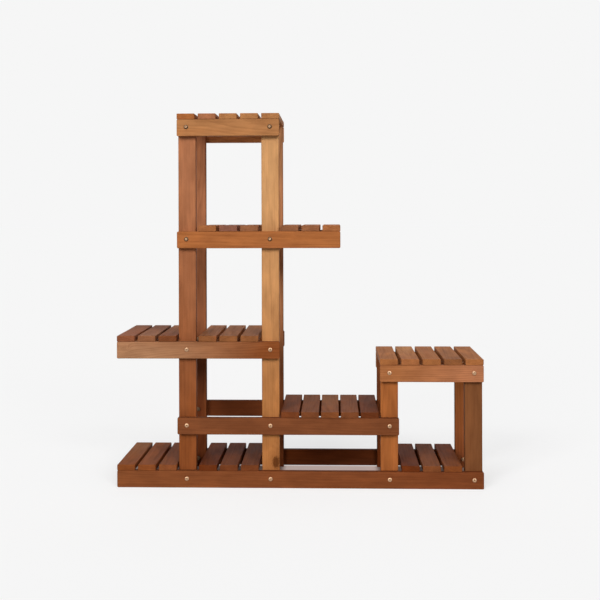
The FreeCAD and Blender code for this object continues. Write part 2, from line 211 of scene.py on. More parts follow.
def timberGroup():
    # Rings are the distance from a pith line outside the board, bent by slow noise and by the knot,
    # cut into steps of one spacing. Fibres, pores and streaks are noise drawn out along the grain.
    tree = bpy.data.node_groups.new("timberGrain", "ShaderNodeTree")
    for way, sockets in (
            ("INPUT", {"Place": "Vector", "Seed": "Vector", "Pith": "Vector", "Knot": "Vector",
                       "Low tone": "Color", "High tone": "Color", "Streak tone": "Color",
                       "Half length": "Float", "Figure": "Float", "Knot depth": "Float",
                       "Arris": "Float", "Flank shade": "Float"}),
            ("OUTPUT", {"Tone": "Color", "Roughness": "Float", "Height": "Float"})):
        for name, kind in sockets.items():
            tree.interface.new_socket(name=name, in_out=way, socket_type="NodeSocket" + kind)
    given = addNode(tree, "NodeGroupInput").outputs
    place, figure, knotDepth = given["Place"], given["Figure"], given["Knot depth"]
    x, y, z = addNode(tree, "ShaderNodeSeparateXYZ", {0: place}).outputs
    slope, pithY, pithZ = addNode(tree, "ShaderNodeSeparateXYZ", {0: given["Pith"]}).outputs
    knotX, knotY, knotSize = addNode(tree, "ShaderNodeSeparateXYZ", {0: given["Knot"]}).outputs

    def plus(a, b):
        return calc(tree, "ADD", a, b)

    def less(a, b):
        return calc(tree, "SUBTRACT", a, b)

    def times(a, b):
        return calc(tree, "MULTIPLY", a, b)

    def distance(a, b):
        # the root of a squared plus b squared
        return calc(tree, "SQRT", plus(calc(tree, "POWER", a, 2.0), calc(tree, "POWER", b, 2.0)))

    def swing(name, reach):
        # a noise of 0 to 1 as a swing of up to half of reach to both sides
        return times(less(pattern[name], 0.5), reach)

    def weighted(weights, total):
        for name, weight in weights.items():
            total = calc(tree, "MULTIPLY_ADD", pattern[name], weight, total)
        return total

    # every noise and mark on the wood, by name
    pattern = {}
    for name, (fineAlong, fineAcross, detail, rough) in grainNoise.items():
        spot = moved(tree, "ADD", place, noiseShift[name]) if name in noiseShift else place
        fineness = (fineAlong, fineAcross, fineAcross)
        pattern[name] = clouds(tree, spot, fineness, given["Seed"], detail, rough)
    for name, (noise, start, full) in noiseMarks.items():
        pattern[name] = ramp(tree, pattern[noise], start, full)

    # knot: how near, from 0 far away to 1 at its middle, longer along the grain than across
    knotReach = distance(times(less(x, knotX), timber["knotSquash"]), less(y, knotY))
    knotRatio = calc(tree, "DIVIDE", knotReach, knotSize)
    knotPull = times(calc(tree, "POWER", knotRatio, 2.0), -timber["knotFall"])
    knotPull = calc(tree, "EXPONENT", knotPull)
    ragged = plus(knotRatio, swing("knotEdge", timber["knotRagged"]))
    pattern["knotRim"] = times(knotPull, knotDepth)
    pattern["knotCore"] = times(ramp(tree, ragged, *timber["knotEdge"], 1.0, 0.0), knotDepth)

    # growth rings
    reach = plus(distance(less(y, pithY), less(z, pithZ)), times(x, slope))
    bent = plus(swing("bend", timber["ringBend"]), swing("ripple", timber["ringRipple"]))
    reach = plus(plus(reach, bent), times(knotPull, timber["ringPush"]))
    turns = calc(tree, "DIVIDE", reach, timber["ringSpacing"])
    within = calc(tree, "FRACT", turns)
    lateWood = ramp(tree, within, *timber["lateFrom"])
    lateWood = times(lateWood, ramp(tree, within, *timber["lateTo"], 1.0, 0.0))
    sockets = {"W": times(turns, timber["ringChange"]), "Scale": 1.0, "Detail": 1.0}
    change = addNode(tree, "ShaderNodeTexNoise", sockets, noise_dimensions="1D").outputs[0]
    pattern["rings"] = times(lateWood, ramp(tree, change, *timber["ringRange"], timber["ringLeast"], 1.0))

    # late wood has more pores; end grain starts at a board's ends, and wear keeps to its edges
    pattern["pores"] = times(pattern["pores"], ramp(tree, pattern["rings"], *timber["poreRings"]))
    pastEnd = less(calc(tree, "ABSOLUTE", x), given["Half length"])
    pattern["endGrain"] = ramp(tree, pastEnd, *timber["endFrom"])
    # painted shade on the narrow faces, where the mesh marks them
    pattern["flankShade"] = given["Flank shade"]
    pattern["rubbed"] = times(given["Arris"], pattern["rubbed"])
    gloss = weighted(woodRoughness, timber["roughness"])
    height = weighted(woodHeight, 0.0)

    # the colours, one over the other; a board's figure scales its rings, streaks and pale bands
    for name in ("rings", "streaks", "paleBands"):
        pattern[name] = times(pattern[name], figure)
    share = plus(times(calc(tree, "DIVIDE", x, given["Half length"]), timber["fade"] / 2), 0.5)
    share = calc(tree, "ADD", share, swing("drift", timber["drift"]), clamp=True)
    tone = tint(tree, share, given["Low tone"], given["High tone"])
    tone = tint(tree, times(pattern["streaks"], timber["streaks"]), tone, given["Streak tone"])
    for name, (depth, colour) in woodMarks.items():
        tone = tint(tree, times(pattern[name], depth), tone, colour + (1.0,), "MULTIPLY")
    addNode(tree, "NodeGroupOutput", {"Tone": tone, "Roughness": gloss, "Height": height})


# for each run of the grain, which axes go along the board, across its width and through it
grainAxes = {"x": (0, 2, 1), "y": (1, 0, 2), "z": (2, 0, 1)}
farKnot = (9.0, 9.0, 0.001)    # out of sight, for a board without one


def timberMaterial(name, board, run, centre, halfLength, seed):
    # one board's finish: the shared grain, centred on the board and turned along it
    rng = np.random.default_rng(seed)
    material = bpy.data.materials.new(name)
    tree = emptyTree(material)
    where = addNode(tree, "ShaderNodeTexCoord").outputs["Object"]
    centred = moved(tree, "SUBTRACT", where, tuple(centre))
    axes = addNode(tree, "ShaderNodeSeparateXYZ", {0: centred}).outputs
    sockets = {row: axes[axis] for row, axis in enumerate(grainAxes[run])}
    place = addNode(tree, "ShaderNodeCombineXYZ", sockets).outputs[0]
    side = 1.0 if rng.random() < 0.5 else -1.0
    pith = (rng.uniform(-timber["pithSlope"], timber["pithSlope"]),
            rng.uniform(-timber["pithAside"], timber["pithAside"]),
            side * rng.uniform(*timber["pithBehind"]))
    moveSeed = tuple(rng.uniform(-timber["seedReach"], timber["seedReach"], 3))
    low, high, streak = (paint(*tones[key]) for key in board["tones"])
    grain = addNode(tree, "ShaderNodeGroup", {
        "Place": place, "Seed": moveSeed, "Pith": pith,
        "Knot": board.get("knot", farKnot), "Knot depth": board.get("knotDepth", 0.8),
        "Low tone": low, "High tone": high, "Streak tone": streak,
        "Half length": halfLength, "Figure": board.get("figure", 1.0),
        "Arris": addNode(tree, "ShaderNodeAttribute", attribute_name="arris").outputs["Fac"],
        "Flank shade": addNode(tree, "ShaderNodeAttribute", attribute_name="flankShade").outputs["Fac"],
    }, node_tree=bpy.data.node_groups["timberGrain"]).outputs
    bump = addNode(tree, "ShaderNodeBump", {
        "Strength": timber["bump"], "Distance": timber["bumpHeight"], "Height": grain["Height"]})
    shader = addNode(tree, "ShaderNodeBsdfPrincipled", {
        "Base Color": grain["Tone"], "Roughness": grain["Roughness"], "Normal": bump.outputs[0],
        "IOR": timber["ior"], "Specular IOR Level": timber["specular"]})
    addNode(tree, "ShaderNodeOutputMaterial", {"Surface": shader.outputs[0]})
    return material


timberGroup()
print("timber finish ready")

tones = {                      # screen colours of oiled hardwood; on some boards below, dark and pale ones also paint shade and light
    "gold": (212, 158, 106),
    "apricot": (220, 148, 94),
    "peach": (204, 145, 101),
    "honey": (184, 127, 80),
    "straw": (179, 117, 66),
    "fawn": (177, 129, 94),
    "amber": (176, 108, 60),
    "copper": (169, 100, 52),
    "clay": (178, 116, 80),
    "teak": (177, 113, 69),
    "almond": (153, 100, 68),
    "ginger": (147, 89, 60),
    "maple": (170, 108, 63),
    "sienna": (150, 95, 57),
    "chestnut": (139, 77, 39),
    "russet": (135, 78, 44),
    "umber": (126, 73, 43),
    "olive": (125, 78, 46),
    "brick": (125, 68, 37),
    "walnut": (110, 57, 29),
    "garnet": (112, 53, 21),
    "cocoa": (102, 51, 25),
    "burnt": (88, 42, 19),
    "mauve": (145, 95, 76),
    "dusk": (120, 86, 66),
    "rust": (160, 88, 52),
    "bark": (92, 52, 32),
}

# The marks are where points lie on a flat, from -1 at one corner to 1 at the other.
# the flank share is how much painted shade a shape's narrow faces take
boardShapes = {
    "rail": {"run": "x", "arris": 1.2 * mm, "corner": 3.5 * mm, "rows": 26, "flankShade": 1.0,
             "wideMarks": (0.975, 0.5, 0.0, -0.5, -0.975), "narrowMarks": (0.93, 0.0, -0.93)},
    "post": {"run": "z", "arris": 1.5 * mm, "corner": 0.5 * mm, "rows": 26, "flankShade": 1.0,
             "wideMarks": (0.975, 0.5, 0.0, -0.5, -0.975), "narrowMarks": (0.93, 0.0, -0.93)},
    "slat": {"run": "y", "arris": 1.5 * mm, "corner": 1.5 * mm, "rows": 10, "flankShade": 0.1,
             "narrowMarks": (0.9, 0.0, -0.9)},
}

sanding = {
    "unevenness": 0.22 * mm,   # how far a narrow face is taken in, at most,
    "wideShare": 0.5,          # and the share of that for a wide one
    "paces": (2.0, 16.0),      # of the waves in it, in radians over a board
    "evenEnd": 20 * mm,        # near an end it is less
    "capInset": 0.9 * mm,      # from an end's rim to the flat of the end face
    "arrisShare": 0.86, "wornShare": 0.5, "wornPace": 0.25,    # an edge's radius, and what wear adds
    "leastArris": 0.08 * mm, "mostArris": 0.8,                 # and its limits, the upper a share
    "drawnShare": 0.95,        # how far an edge's radius follows the drawn-in end
    "cornerSteps": 5, "endSteps": 7,
    "endRow": 0.5 * mm, "rowsFrom": 4 * mm,    # past an end's rounding: its last row, and the even ones
}

nails = {
    "fromEdge": 11 * mm, "fromMiddle": 117 * mm, "patch": 3 * mm, "mouth": 1.62 * mm, "bore": 1.35 * mm,
    "mouthDepth": 0.12 * mm, "seatDepth": 1.7 * mm, "seatSteps": 12,
    "edgeMark": 0.4 * mm, "heldMark": 0.8, "heldFrom": 3 * mm,     # for the lines of points beside them
    "sunk": 0.5 * mm, "head": 1.3 * mm, "headHeight": 1.5 * mm, "shank": 0.9 * mm, "length": 30 * mm,
    "point": 3 * mm, "pointRadius": 0.1 * mm, "steps": 10,
}

# Tones are those of the low end, the high end and the streaks. Ends run left to right, front to
# back and bottom to top. A knot is its place along and across from the middle, and its size.
# Some tones paint light and shade, as noted at those boards.
boards = {
    "top_rail_front": {"tones": ("honey", "honey", "amber")},
    # its pale tone is painted light, for the light that reaches its face under the top shelf
    "top_rail_back": {"tones": ("apricot", "apricot", "amber")},
    "second_rail_front": {"tones": ("amber", "amber", "rust"), "figure": 0.8},
    "second_rail_back": {"tones": ("amber", "sienna", "rust")},
    "third_rail_front": {"tones": ("fawn", "chestnut", "rust"), "knot": (-0.195, 0.004, 0.006),
                         "knotDepth": 0.22},
    "third_rail_back": {"tones": ("sienna", "chestnut", "rust")},
    "fourth_rail_front": {"tones": ("umber", "umber", "russet"), "figure": 0.6},
    # the back rails' dark tones are partly painted shade under the shelves
    "fourth_rail_back": {"tones": ("walnut", "walnut", "bark"), "figure": 0.7},
    "bottom_rail_front": {"tones": ("russet", "brick", "umber"), "figure": 0.6},
    # darker towards the right: painted shade under the fourth shelf
    "bottom_rail_back": {"tones": ("garnet", "burnt", "bark"), "figure": 0.8},
    "side_rail_front": {"tones": ("teak", "clay", "rust"), "figure": 1.3},
    "side_rail_back": {"tones": ("honey", "clay", "rust")},
    # The posts grow darker towards the bottom, partly their wood and partly painted shade for light that
    # falls off towards the floor.
    "left_tall_post_front": {"tones": ("chestnut", "clay", "copper"), "figure": 0.7},
    # its dark low end is partly painted shade under the third shelf
    "left_tall_post_back": {"tones": ("cocoa", "clay", "copper"), "figure": 0.8},
    "right_tall_post_front": {"tones": ("straw", "gold", "amber"), "figure": 0.45,
                              "knot": (-0.415, 0.0135, 0.0115), "knotDepth": 0.9},
    "right_tall_post_back": {"tones": ("walnut", "peach", "rust")},
    "middle_short_post_front": {"tones": ("copper", "copper", "rust"), "figure": 0.8},
    # its dark low end is painted shade under the side shelf
    "middle_short_post_back": {"tones": ("garnet", "russet", "rust")},
    "right_short_post_front": {"tones": ("olive", "olive", "walnut"), "figure": 0.6},
    "right_short_post_back": {"tones": ("brick", "copper", "rust")},
    "top_shelf_slat_1": {"tones": ("amber", "amber", "rust")},
    "top_shelf_slat_2": {"tones": ("clay", "clay", "rust")},
    "top_shelf_slat_3": {"tones": ("honey", "honey", "rust")},
    "top_shelf_slat_4": {"tones": ("honey", "honey", "rust")},
    "top_shelf_slat_5": {"tones": ("honey", "amber", "rust")},
    "second_shelf_slat_1": {"tones": ("teak", "amber", "rust")},
    "second_shelf_slat_2": {"tones": ("mauve", "mauve", "dusk")},
    "second_shelf_slat_3": {"tones": ("almond", "amber", "rust")},
    "second_shelf_slat_4": {"tones": ("almond", "clay", "rust")},
    "second_shelf_slat_5": {"tones": ("almond", "amber", "rust")},
    "second_shelf_slat_6": {"tones": ("teak", "clay", "rust")},
    "third_shelf_slat_1": {"tones": ("ginger", "umber", "rust")},
    "third_shelf_slat_2": {"tones": ("almond", "umber", "rust")},
    "third_shelf_slat_3": {"tones": ("umber", "sienna", "rust")},
    "third_shelf_slat_4": {"tones": ("sienna", "teak", "rust")},
    "third_shelf_slat_5": {"tones": ("sienna", "teak", "rust")},
    "third_shelf_slat_6": {"tones": ("sienna", "maple", "rust")},
    "fourth_shelf_slat_1": {"tones": ("brick", "brick", "dusk")},
    "fourth_shelf_slat_2": {"tones": ("umber", "russet", "bark")},
    "fourth_shelf_slat_3": {"tones": ("russet", "sienna", "walnut")},
    "fourth_shelf_slat_4": {"tones": ("umber", "russet", "walnut")},
    "fourth_shelf_slat_5": {"tones": ("walnut", "walnut", "bark")},
    "bottom_shelf_slat_1": {"tones": ("chestnut", "sienna", "rust")},
    "bottom_shelf_slat_2": {"tones": ("chestnut", "chestnut", "rust")},
    "bottom_shelf_slat_3": {"tones": ("russet", "brick", "rust")},
    # slats 4 to 9 take dark tones partly as painted shade under the shelves above
    "bottom_shelf_slat_4": {"tones": ("garnet", "garnet", "bark")},
    "bottom_shelf_slat_5": {"tones": ("brick", "garnet", "bark")},
    "bottom_shelf_slat_6": {"tones": ("brick", "walnut", "bark")},
    "bottom_shelf_slat_7": {"tones": ("garnet", "garnet", "bark")},
    "bottom_shelf_slat_8": {"tones": ("russet", "brick", "bark")},
    "bottom_shelf_slat_9": {"tones": ("chestnut", "garnet", "bark")},
    "side_shelf_slat_1": {"tones": ("maple", "maple", "rust")},
    "side_shelf_slat_2": {"tones": ("teak", "honey", "rust")},
    "side_shelf_slat_3": {"tones": ("maple", "maple", "rust")},
    "side_shelf_slat_4": {"tones": ("sienna", "maple", "dusk")},
    "side_shelf_slat_5": {"tones": ("maple", "maple", "rust")},
}


def waves(rng, along, count, reach):
    # count smooth curves over the length, each from 0 to 1: three sines of random pace and phase, added
    pace = rng.uniform(*sanding["paces"], (count, 3, 1)) / reach
    phase = rng.uniform(0, 2 * np.pi, (count, 3, 1))
    total = np.sin(pace * along[None, None, :] + phase).sum(1) / 3
    return 0.5 + 0.5 * total


def boardProfile(flatMarks):
    # Round the section once: for each of the four corners a quarter turn in even steps, and along each
    # flat the marks asked for. Gives for each point its corner, its angle and its place along the flat.
    count = sanding["cornerSteps"]
    corner, angle, mark = [], [], []
    for k in range(4):
        steps = np.linspace(0, np.pi / 2, count) + k * np.pi / 2
        corner += [k] * count
        angle += list(steps)
        mark += [np.nan] * count
        for m in flatMarks[k % 2]:
            corner.append(k)
            angle.append(steps[-1])
            mark.append(m)
    return np.array(corner), np.array(angle), np.array(mark)


def makeBoard(name, kind, seed):
    # A rounded rectangle carried along the board. Near each end the section draws in by
    # r - sqrt(r^2 - (r - s)^2), s being the distance to the end, so the end corners are round too.
    shape = boardShapes[kind]
    low, high = (np.array(v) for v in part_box(name))
    centre, size = (low + high) / 2, high - low
    along, across, through = grainAxes[shape["run"]]
    length, width, thick = size[along], size[across], size[through]
    rng = np.random.default_rng(seed)
    arris, corner = shape["arris"], shape["corner"]
    nailed = kind == "slat"

    # rows along the board
    reach = max(arris, corner)
    turn = np.linspace(0, np.pi / 2, sanding["endSteps"])
    nearEnd = np.append(reach * (1 - np.cos(turn)), reach + sanding["endRow"])
    inner = np.linspace(-1, 1, shape["rows"]) * (length / 2 - reach - sanding["rowsFrom"])
    if nailed:
        edge = nails["fromMiddle"] + nails["patch"]
        inner = np.linspace(-1, 1, shape["rows"]) * (nails["fromMiddle"] - nails["patch"])
        nearEnd = np.append(nearEnd, length / 2 - edge)
    near, far = -length / 2 + nearEnd, length / 2 - nearEnd[::-1]
    a = np.concatenate([[-length / 2], near, inner, far, [length / 2]])
    s = length / 2 - np.abs(a)
    cap = np.zeros(len(a), bool)
    cap[[0, -1]] = True

    def drawIn(r):
        t = np.clip(s, 0, r)
        return r - np.sqrt(np.maximum(r * r - (r - t) ** 2, 0))

    endAcross = drawIn(corner) + cap * sanding["capInset"]
    endThrough = drawIn(min(corner, arris)) + cap * sanding["capInset"]

    # points round the section; the marks on the flats go from one corner to the next
    if nailed:
        halfFlat = width / 2 - arris
        n, p, rest = width / 2 - nails["fromEdge"], nails["patch"], halfFlat - nails["edgeMark"]
        wideMarks = np.array([rest, n + p, n - p, 0, p - n, -n - p, -rest]) / halfFlat
    else:
        wideMarks = shape["wideMarks"]
    k, angle, mark = boardProfile((wideMarks, shape["narrowMarks"]))
    noise = sanding["unevenness"] * waves(rng, a, 4, length) * np.clip(s / sanding["evenEnd"], 0, 1)
    chafe = waves(rng, a, 4, length * sanding["wornPace"])
    halfB = width / 2 - endAcross[None, :] - noise[[0, 1]]
    halfC = thick / 2 - endThrough[None, :] - noise[[2, 3]] * sanding["wideShare"]
    drawn = np.minimum(endThrough, arris)[None, :] * sanding["drawnShare"]
    worn = arris * (sanding["arrisShare"] + sanding["wornShare"] * chafe)
    radius = np.maximum(worn - drawn, sanding["leastArris"])
    cornerB = np.array([1, -1, -1, 1])
    cornerC = np.array([1, 1, -1, -1])
    hb = np.where(cornerB[k][:, None] > 0, halfB[0], halfB[1])
    hc = np.where(cornerC[k][:, None] > 0, halfC[0], halfC[1])
    r = np.minimum(radius[k], np.minimum(hb, hc) * sanding["mostArris"])
    b = cornerB[k][:, None] * (hb - r) + r * np.cos(angle)[:, None]
    c = cornerC[k][:, None] * (hc - r) + r * np.sin(angle)[:, None]

    # a point on a flat lies between this corner's last point and the next corner's first
    flat = ~np.isnan(mark)
    span = np.where(flat, (1 - np.nan_to_num(mark)) / 2, 0)[:, None]
    ends = np.flatnonzero(flat)
    last = np.array([np.flatnonzero((k == q) & ~flat)[-1] for q in range(4)])
    first = np.array([np.flatnonzero((k == (q + 1) % 4) & ~flat)[0] for q in range(4)])
    b[ends] = b[last[k[ends]]] * (1 - span[ends]) + b[first[k[ends]]] * span[ends]
    c[ends] = c[last[k[ends]]] * (1 - span[ends]) + c[first[k[ends]]] * span[ends]
    if nailed:
        # the lines of points beside the nails stay straight, but for the board's ends
        held = ends[(k[ends] % 2 == 0) & (np.abs(mark[ends]) < nails["heldMark"])]
        straight = mark[held][:, None] * halfFlat * np.where(k[held] == 0, 1, -1)[:, None]
        b[held] = np.where(s[None, :] > nails["heldFrom"], straight, b[held])

    points = np.zeros((len(a), len(k), 3))
    points[:, :, along] = a[:, None]
    points[:, :, across] = b.T
    points[:, :, through] = c.T
    rounded = np.tile(np.where(flat, 0, np.sin(2 * (angle - k * np.pi / 2))), (len(a), 1))
    # the narrow faces are marked for painted shade
    narrow = np.where(flat, k % 2, np.abs(np.cos(angle))) * ~cap[:, None] * shape["flankShade"]

    # the axes' order says which way round the faces go
    ring = len(k)
    rightHanded = np.linalg.det(np.eye(3)[[along, across, through]]) > 0
    quads = gridFaces(len(a), ring, inward=not rightHanded)
    startCap, endCap = list(range(ring)), [(len(a) - 1) * ring + i for i in range(ring)]
    closing = [startCap[::-1], endCap] if rightHanded else [startCap, endCap[::-1]]
    faces = quads.tolist()
    allPoints = points.reshape(-1, 3)
    if nailed:
        allPoints, faces = sinkNails(a, k, mark, quads, allPoints, width, ring)
    more = np.zeros(len(allPoints) - rounded.size)
    allMarks = {"arris": np.append(rounded, more), "flankShade": np.append(narrow, more)}
    faces += closing
    finish = timberMaterial(name + "_timber", boards[name], shape["run"], centre, length / 2, seed + 500)
    piece = putMesh(name.replace("_shelf", "") + "_wood", allPoints + centre, faces, allMarks, finish)
    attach(piece, "root")
    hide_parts(name)


def sinkNails(a, k, mark, quads, points, width, ring):
    # Takes out the four cells of the top face that hold nails. In each, three rings of points make
    # the seat, round its mouth, its bore's top and its floor, and four faces join the mouth to the
    # cell's corners.
    n, p, m = width / 2 - nails["fromEdge"], nails["patch"], nails["fromMiddle"]
    flatTop = np.flatnonzero((k == 0) & ~np.isnan(mark))
    place = mark[flatTop] * (width / 2 - boardShapes["slat"]["arris"])
    starts = [flatTop[np.argmin(np.abs(place - (middle + p)))] for middle in (n, -n)]
    rowAt = [int(np.argmin(np.abs(a - (middle - p)))) for middle in (-m, m)]
    cells = [(row, start) for row in rowAt for start in starts]
    keep = np.ones(len(quads), bool)
    keep[[row * ring + start for row, start in cells]] = False
    faces = quads[keep].tolist()
    steps = nails["seatSteps"]
    quarter = steps // 4
    turn = -np.pi * 0.75 + np.arange(steps) * 2 * np.pi / steps    # from the corner at low X, low Y
    bore = nails["bore"]
    seat = ((nails["mouth"], 0.0), (bore, nails["mouthDepth"]), (bore, nails["seatDepth"]))
    for row, start in cells:
        base = len(points)
        low, high = row * ring + start, (row + 1) * ring + start
        corners = [low + 1, low, high, high + 1]
        middle = points[corners].mean(0)
        for radius, depth in seat:
            circle = np.stack([middle[0] + radius * np.cos(turn), middle[1] + radius * np.sin(turn),
                               np.full(steps, middle[2] - depth)], axis=1)
            points = np.vstack([points, circle])
        for side in range(4):
            arc = [base + (side * quarter + i) % steps for i in range(quarter + 1)]
            faces.append([corners[side], corners[(side + 1) % 4]] + arc[::-1])
        faces += gridFaces(len(seat), steps, base, inward=True).tolist()
        faces.append([base + (len(seat) - 1) * steps + i for i in range(steps)])
    return points, faces


for number, name in enumerate(boards):
    kind = "rail" if "_rail_" in name else "post" if "_post_" in name else "slat"
    makeBoard(name, kind, 100 + number)
print("boards made:", len(boards))

bolts = {
    "rise": 24 * mm,           # above a rail's lower edge
    "head": 5.5 * mm, "headHeight": 3.2 * mm, "rim": 1.2 * mm, "ease": (0.2 * mm, 0.15 * mm),
    "faceRows": (0.02, 0.08, 0.13, 0.18, 0.25, 0.32, 0.40, 0.47, 0.52, 0.57, 0.63, 0.72, 0.82, 0.91,
                 0.97),        # shares of the head's radius
    "recessLength": 6 * mm, "recessWidth": 1.4 * mm, "recessDepth": 1.8 * mm,
    "endWall": 0.45 * mm, "sideWall": 0.35 * mm, "flare": 0.12 * mm,    # the recess's sloping walls
    "shallower": 0.45,         # share of its depth that the recess loses towards its arms' ends
    "shank": 3 * mm, "pitch": 1 * mm, "threadDepth": 0.35 * mm,
    "threadRows": 24, "threadStart": 2 * mm, "threadEnd": 0.5 * mm,    # from the nut and from the tip
    "nut": 5 * mm, "nutHeight": 5 * mm, "end": 2.5 * mm, "chamfer": 0.4 * mm,
    "steps": 40, "nutSteps": 48,
    "rimDarkening": 0.55,           # metres up, above which the heads are darker round the rim
    "nutShade": 0.40,            # metres to the right, up to which the nuts and bolt ends get painted shade
    "darkRimAndShade": {"fresh": (0.0, 0.2), "bright": 0.1, "inShade": (0.7, 0.9), "fill": 0.8},
    "rimDarkFrom": 0.42, "rimDarkOver": 0.2,    # shares of the head's radius, outwards
}


def boltSpots():
    # a bolt goes through the middle of each post where a rail crosses it, at the rail's bolt height
    spots = []
    for rail in (n for n in boards if "_rail_" in n):
        railLow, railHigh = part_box(rail)
        side = rail.rsplit("_", 1)[1]
        for post in (n for n in boards if "_post_" in n and n.endswith(side)):
            low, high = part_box(post)
            middle = (low[0] + high[0]) / 2
            if railLow[0] < middle < railHigh[0] and railLow[2] < high[2]:
                spots.append((middle, railLow[2] + bolts["rise"], -1 if side == "front" else 1))
    return np.array(spots)


spots = boltSpots()
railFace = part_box("top_rail_back")[1][1]
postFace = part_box("left_tall_post_back")[0][1]


def repeatAt(unit, faces, spins):
    # Copies a shape made round the Y axis, facing -Y, to each spot, turned by its own spin about Y.
    # On the back rails it is turned half round Z, so it faces +Y.
    count = len(unit)
    cos, sin = np.cos(spins)[:, None], np.sin(spins)[:, None]
    x = cos * unit[None, :, 0] + sin * unit[None, :, 2]
    z = -sin * unit[None, :, 0] + cos * unit[None, :, 2]
    facing = -spots[:, 2][:, None]
    placed = np.stack([x * facing + spots[:, 0][:, None], unit[None, :, 1] * facing + 0 * x,
                       z + spots[:, 1][:, None]], axis=-1)
    allFaces = [[i + count * n for i in f] for n in range(len(spots)) for f in faces]
    return placed.reshape(-1, 3), allFaces


def turned(profile, steps):
    # a profile of (radius, y) points carried round the Y axis
    angle = np.arange(steps) * 2 * np.pi / steps
    radius, y = np.array(profile).T
    return np.stack([radius[:, None] * np.cos(angle), np.repeat(y[:, None], steps, 1),
                     radius[:, None] * np.sin(angle)], axis=-1).reshape(-1, 3)


def boltShape():
    # The head's face is a height over a disc: a shallow dome, rim + (top - rim) sqrt(1 - (r / head)^2),
    # less a cross-shaped recess with sloping sides. Below it the rim goes down to the rail, and the
    # shank's radius carries a helix of thread.
    steps = bolts["steps"]
    head, rim, top = bolts["head"], bolts["rim"], bolts["headHeight"]
    angle = np.arange(steps) * 2 * np.pi / steps
    radii = head * np.array(bolts["faceRows"])
    x, z = radii[:, None] * np.cos(angle), radii[:, None] * np.sin(angle)
    dome = rim + (top - rim) * np.sqrt(np.maximum(1 - (radii / head) ** 2, 0))[:, None] + 0 * x
    halfW, halfL = bolts["recessWidth"] / 2, bolts["recessLength"] / 2

    def arm(u, v):
        # 1 inside one arm of the cross, falling to 0 over its sloping walls
        edgeU = np.clip((halfL - np.abs(u)) / bolts["endWall"], 0, 1)
        edgeV = np.clip((halfW + bolts["flare"] - np.abs(v)) / bolts["sideWall"], 0, 1)
        return np.minimum(edgeU, edgeV)

    cut = np.maximum(arm(x, z), arm(z, x))
    taper = 1 - bolts["shallower"] * np.clip(np.hypot(x, z) / halfL, 0, 1)
    face = railFace + dome - bolts["recessDepth"] * cut * taper
    faceRows = np.stack([x, -face, z], axis=-1).reshape(-1, 3)
    inward, outward = bolts["ease"]
    side = turned([(head, -(railFace + rim)), (head, -(railFace + outward)), (head - inward, -railFace),
                   (bolts["shank"], -railFace)], steps)

    # the shank goes plain to the thread, and ends in a small chamfer
    nutFace = postFace - bolts["nutHeight"]
    tip = nutFace - bolts["end"]
    start, end = nutFace + bolts["threadStart"], tip + bolts["threadEnd"]
    y = np.concatenate([[railFace - 0.5 * mm, start + 0.2 * mm],
                        np.linspace(start, end, bolts["threadRows"]), [tip + 0.2 * mm, tip]])
    lead = np.abs(((y[:, None] / bolts["pitch"] + angle / (2 * np.pi)) % 1) * 2 - 1)
    core = bolts["shank"] - bolts["threadDepth"]
    radius = np.full((len(y), steps), bolts["shank"])
    radius[2:-2] = core + bolts["threadDepth"] * lead[2:-2]
    radius[-2:] = np.array([[core], [core - bolts["chamfer"]]])
    shank = np.stack([radius * np.cos(angle), -y[:, None] + 0 * radius, radius * np.sin(angle)],
                     axis=-1).reshape(-1, 3)
    unit = np.vstack([faceRows, side, shank])
    rows = len(unit) // steps
    faces = gridFaces(rows, steps).tolist()
    faces += [list(range(steps))[::-1], [(rows - 1) * steps + i for i in range(steps)]]
    recess, border = np.zeros(len(unit)), np.ones(len(unit))
    # the recess is marked for painted shade
    recess[:len(faceRows)] = (cut * taper).reshape(-1)
    outer = np.clip((radii / head - bolts["rimDarkFrom"]) / bolts["rimDarkOver"], 0, 1)
    border[:len(faceRows)] = (outer[:, None] + 0 * x).reshape(-1)
    return unit, faces, recess, border


def nutShape():
    # A hexagon's radius is flat / cos(angle to the nearest flat). It is cut back to a cone at both
    # ends, which gives the curved chamfers, and the bore's mouth is countersunk.
    steps = bolts["nutSteps"]
    angle = np.arange(steps) * 2 * np.pi / steps
    flat, bore, h = bolts["nut"], bolts["shank"] - 0.1 * mm, bolts["nutHeight"]
    hexagon = flat / np.cos((angle + np.pi / 6) % (np.pi / 3) - np.pi / 6)
    near = [(0.9 * mm, bore), (0.0, bore + 0.6 * mm), (0.0, flat * 0.97), (0.12 * mm, flat * 1.03),
            (0.45 * mm, flat * 1.12), (0.8 * mm, flat * 2)]
    profile = near + [(h / 2, flat * 2)] + [(h - depth, limit) for depth, limit in near[::-1]]
    depth, limit = np.array(profile).T
    radius = np.minimum(hexagon[None, :], limit[:, None])
    unit = np.stack([radius * np.cos(angle), np.repeat(depth[:, None] - postFace, steps, 1),
                     radius * np.sin(angle)], axis=-1).reshape(-1, 3)
    count = len(profile)
    faces = gridFaces(count, steps).tolist()
    last = (count - 1) * steps
    faces += [[last + i, last + (i + 1) % steps, (i + 1) % steps, i] for i in range(steps)]
    return unit, faces, np.zeros(len(unit)), np.ones(len(unit))


def nailShape():
    # a profile of (radius, depth) carried round Z: a slightly crowned head, a shank and a point
    head, neck, shank = nails["head"], nails["headHeight"], nails["shank"]
    profile = np.array([(head * 0.35, 0.0), (head * 0.8, 0.08 * mm), (head, 0.3 * mm), (head, 0.9 * mm),
                        (shank, neck), (shank, nails["length"] - nails["point"]),
                        (nails["pointRadius"], nails["length"])])
    steps = nails["steps"]
    angle = np.arange(steps) * 2 * np.pi / steps
    unit = np.stack([profile[:, :1] * np.cos(angle), profile[:, :1] * np.sin(angle),
                     -profile[:, 1:] + 0 * angle], axis=-1).reshape(-1, 3)
    last = (len(profile) - 1) * steps
    faces = gridFaces(len(profile), steps, inward=True).tolist()
    faces += [list(range(steps)), [last + i for i in range(steps)][::-1]]
    return unit, faces


